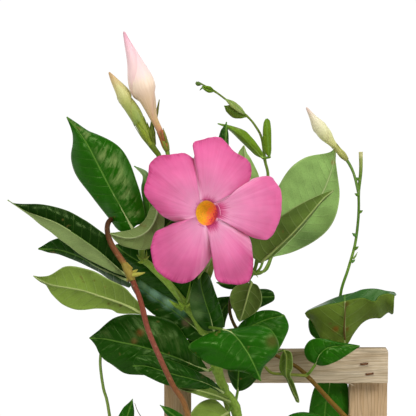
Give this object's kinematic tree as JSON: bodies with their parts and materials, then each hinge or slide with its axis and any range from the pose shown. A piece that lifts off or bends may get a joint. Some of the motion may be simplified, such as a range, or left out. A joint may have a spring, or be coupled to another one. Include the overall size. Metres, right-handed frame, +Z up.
{
  "type": "potted mandevilla",
  "caption": "Climbing mandevilla with a pink trumpet bloom and furled buds, tied up a small wooden ladder trellis that stands in a plain round pot of soil.",
  "frame": {"origin": "centre of the pot's flat base, on the surface that it stands on", "axes": "+Z up along the pot's axis, -Y the front that the bloom and the trellis rails face, +X to the right as seen from the front"},
  "size_m": [0.3031, 0.2781, 0.6345],
  "materials": {
    "terracotta_plastic": "satin",
    "peat": "matte",
    "pine": "matte",
    "rusty_steel": "matte",
    "leaf_green": "satin",
    "leaf_red_stem": "satin",
    "leaf_brown_stem": "satin",
    "leaf_olive": "satin",
    "petal_pink": "matte",
    "throat_yellow": "matte",
    "bud_pink": "satin",
    "bud_yellow": "satin",
    "bud_cream": "satin"
  },
  "bodies": {
    "root": {"pot": "terracotta_plastic", "soil": "peat", "upright_left": "pine", "upright_right": "pine", "rail_top": "pine", "rail_middle": "pine", "rail_low": "pine", "staple_top_left_1": "rusty_steel", "staple_top_left_2": "rusty_steel", "staple_top_right_1": "rusty_steel", "staple_top_right_2": "rusty_steel", "staple_middle_left_1": "rusty_steel", "staple_middle_right_1": "rusty_steel", "staple_low_left_1": "rusty_steel", "staple_low_right_1": "rusty_steel", "vine_green": "leaf_green", "vine_back": "leaf_green", "vine_red": "leaf_red_stem", "vine_brown": "leaf_brown_stem", "vine_right": "leaf_olive", "vine_thin": "leaf_olive", "bloom_petals": "petal_pink", "bloom_throat": "throat_yellow", "bud_pink": "bud_pink", "bud_yellow": "bud_yellow", "bud_cream": "bud_cream"}
  },
  "joints": []
}
